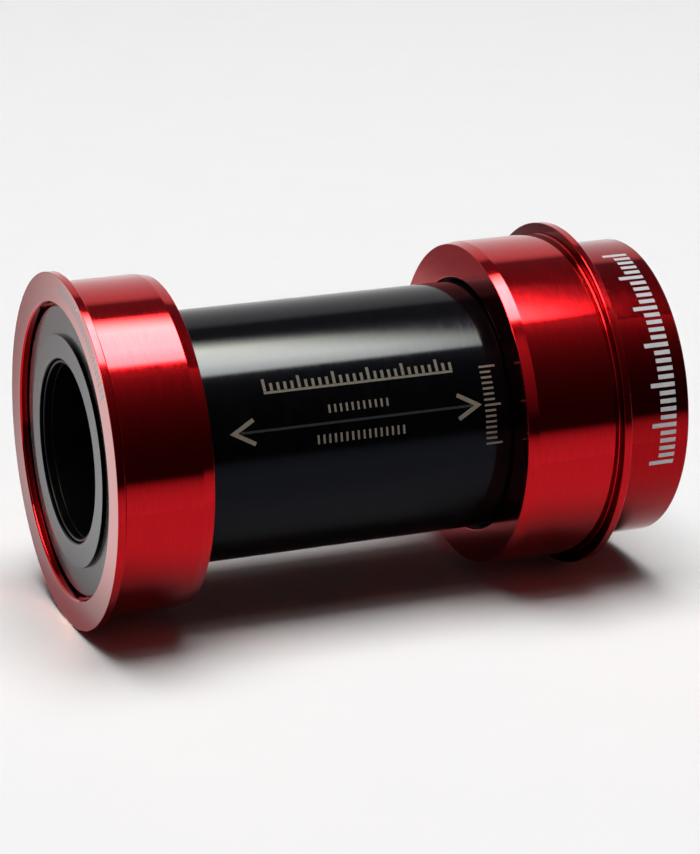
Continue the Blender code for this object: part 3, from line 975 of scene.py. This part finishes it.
class PanelPaint(Paint):
    """Light from a panel, which falls off across bands of the panel's own coordinates.

    A falloff is (direction, where it is dark, where it is bright, how it runs, and how dark if not black).
    The falloffs multiply each other, and least is added to the result.
    """

    def __init__(self, name, colour, brightness, falloffs, least=WORLD_STRENGTH, edge_colour=None):
        super().__init__(name, (0.0, 0.0, 0.0))
        place = self.node("ShaderNodeTexCoord").outputs["Object"]
        total = None
        for direction, dark, bright, run, *low in falloffs:
            along = self.node("ShaderNodeVectorMath", {"operation": "DOT_PRODUCT"}, i0=place, i1=direction)
            band = self.node("ShaderNodeMapRange", {"interpolation_type": run}, i0=along.outputs["Value"])
            band.inputs["From Min"].default_value = dark
            band.inputs["From Max"].default_value = bright
            band.inputs["To Min"].default_value = low[0] if low else 0.0
            result = band.outputs["Result"]
            total = result if total is None else self.math("MULTIPLY", total, result)
        emission = self.node("ShaderNodeEmission", Color=(*colour, 1.0))
        strength = self.math("ADD", self.math("MULTIPLY", total, brightness), least)
        self.tree.links.new(strength, emission.inputs["Strength"])
        if edge_colour:
            hue = self.blend(self.spread(total, 0.0, 0.12, 0.0, 1.0), edge_colour, colour)
            self.tree.links.new(hue, emission.inputs["Color"])
        output = self.tree.nodes["Material Output"]
        self.tree.links.new(emission.outputs[0], output.inputs["Surface"])


def make_panel(name, x_range, y_range, z_range, paint):
    """An upright or level rectangle that only the glossy surfaces see."""
    (x0, x1), (y0, y1), (z0, z1) = x_range, y_range, z_range
    mesh = bpy.data.meshes.new(name)
    mesh.from_pydata([(x0, y0, z0), (x1, y0, z0), (x1, y1, z1), (x0, y1, z1)], [], [(0, 1, 2, 3)])
    mesh.materials.append(paint.material)
    panel = bpy.data.objects.new(name, mesh)
    bpy.context.scene.collection.objects.link(panel)
    panel.visible_camera = False
    panel.visible_diffuse = False
    panel.visible_shadow = False
    panel.visible_transmission = False


def make_key_panels():
    """The bright panels overhead, which make the long highlights."""
    soft, even = "SMOOTHSTEP", "LINEAR"
    right, back = (1.0, 0.0, 0.0), (0.0, 1.0, 0.0)
    key = PanelPaint("key_panel_glow", KEY_COLOUR, KEY_BRIGHTNESS, [
        (KEY_SLANT, 0.278, 0.178, soft, KEY_TAIL),
        (KEY_SLANT, 0.335, 0.262, even),
        (right, 0.33, 0.27, even),
        (back, -0.42, -0.08, even),
        (back, -0.226, -0.192, even),
        (back, 0.25, 0.09, even),
        (right, -0.09, -0.04, even),
    ], KEY_SURROUND, KEY_EDGE_COLOUR)
    make_panel("key_panel", (-0.5, 0.9), (-0.23, 0.47), (KEY_HEIGHT, KEY_HEIGHT), key)
    far = PanelPaint("far_panel_glow", KEY_COLOUR, FAR_BRIGHTNESS, [
        (right, -0.36, -0.44, even),
        (back, 0.24, 0.1, even),
    ])
    make_panel("far_panel", (-0.9, -0.34), (-0.22, 0.24), (FAR_HEIGHT, FAR_HEIGHT), far)


def make_wall_panels():
    """Glowing panels behind and in front of the object, which only the glossy surfaces see; the front left one
    is a painted reflection that brightens the lead-in chamfer of the right cup.
    """
    soft, even = "SMOOTHSTEP", "LINEAR"
    right, up = (1.0, 0.0, 0.0), (0.0, 0.0, 1.0)
    back = PanelPaint("back_panel_glow", WHITE, BACK_BRIGHTNESS, [(up, 1.42, 0.98, soft)])
    make_panel("back_panel", PANEL_ENDS, (PANEL_DISTANCE, PANEL_DISTANCE), (PANEL_FOOT, BACK_TOP), back)
    rising = (up, 0.0, PANEL_TOP, even)
    front = PanelPaint("front_panel_glow", WHITE, FRONT_BRIGHTNESS, [rising, rising])
    make_panel("front_panel", PANEL_ENDS, (-PANEL_DISTANCE, -PANEL_DISTANCE), (PANEL_FOOT, PANEL_TOP), front)
    # painted reflection: a glow at the front left, seen only by the glossy surfaces, which brightens the
    # lead-in chamfer of the right cup
    nearer = 0.01 - PANEL_DISTANCE
    front_left = PanelPaint("front_left_panel_glow", WHITE, FRONT_LEFT_BRIGHTNESS, [
        (up, 0.05, 1.8, even),
        (right, FRONT_LEFT_END, FRONT_LEFT_END - 0.1, even),
    ])
    ends = (PANEL_ENDS[0], FRONT_LEFT_END)
    make_panel("front_left_panel", ends, (nearer, nearer), (PANEL_FOOT, PANEL_TOP), front_left)


def make_floor_cards():
    """Two glowing cards on the floor that only the glossy surfaces see, painting the floor's reflection: one
    in front for the barrels, bright near the object and fading to dark further out, and one at the left for
    the left end's faces, carrying a painted shadow of the object on the floor, dark near it along a slant and
    tinted pink there.
    """
    soft = "SMOOTHSTEP"
    back, left = (0.0, 1.0, 0.0), (-1.0, 0.0, 0.0)
    level = cad_low.z + CARD_RISE
    # painted reflection of the floor: bright near the object, fading to dark further out
    card = PanelPaint("front_card_glow", WHITE, CARD_BRIGHTNESS, [(back, -0.255, -0.03, soft)])
    make_panel("front_card", (-2.0, 2.0), (-2.0, CARD_EDGE), (level, level), card)
    # painted shadow of the object on the floor, seen only in the faces of the left end, with a pink tint where
    # it is dark
    side = PanelPaint("left_card_glow", WHITE, SIDE_BRIGHTNESS, [
        (SIDE_SLANT, 0.024, 0.042, soft),
        (left, 0.043, 0.058, soft),
    ], SIDE_LEAST, SIDE_EDGE_COLOUR)
    make_panel("left_card", (-1.0, cad_low.x - CARD_RISE), (cad_low.y, 0.9), (level, level), side)


def make_world():
    world = bpy.data.worlds.new("dim_studio")
    world.use_nodes = True
    background = world.node_tree.nodes["Background"]
    background.inputs["Color"].default_value = (*WHITE, 1.0)
    background.inputs["Strength"].default_value = WORLD_STRENGTH
    bpy.context.scene.world = world


def make_camera():
    data = bpy.data.cameras.new("camera")
    data.lens = CAMERA_LENS
    data.clip_start = 0.01
    azimuth, elevation = math.radians(CAMERA_AZIMUTH), math.radians(CAMERA_ELEVATION)
    forward = Vector((
        -math.sin(azimuth) * math.cos(elevation),
        math.cos(azimuth) * math.cos(elevation),
        -math.sin(elevation),
    ))
    camera = bpy.data.objects.new("camera", data)
    camera.location = CAMERA_PLACE
    camera.rotation_euler = forward.to_track_quat("-Z", "Y").to_euler()
    bpy.context.scene.collection.objects.link(camera)
    bpy.context.scene.camera = camera


def main():
    finish = make_finishes()
    make_turned_pieces(finish)
    make_balls(finish)
    make_cages(finish)
    make_width_arrow(finish)
    make_sleeve_scale(finish)
    make_sleeve_ticks(finish)
    make_cup_marks(finish)
    make_floor()
    make_overhead()
    make_sun()
    make_key_panels()
    make_wall_panels()
    make_floor_cards()
    make_world()
    make_camera()
    bpy.context.scene.view_settings.view_transform = "Standard"


main()
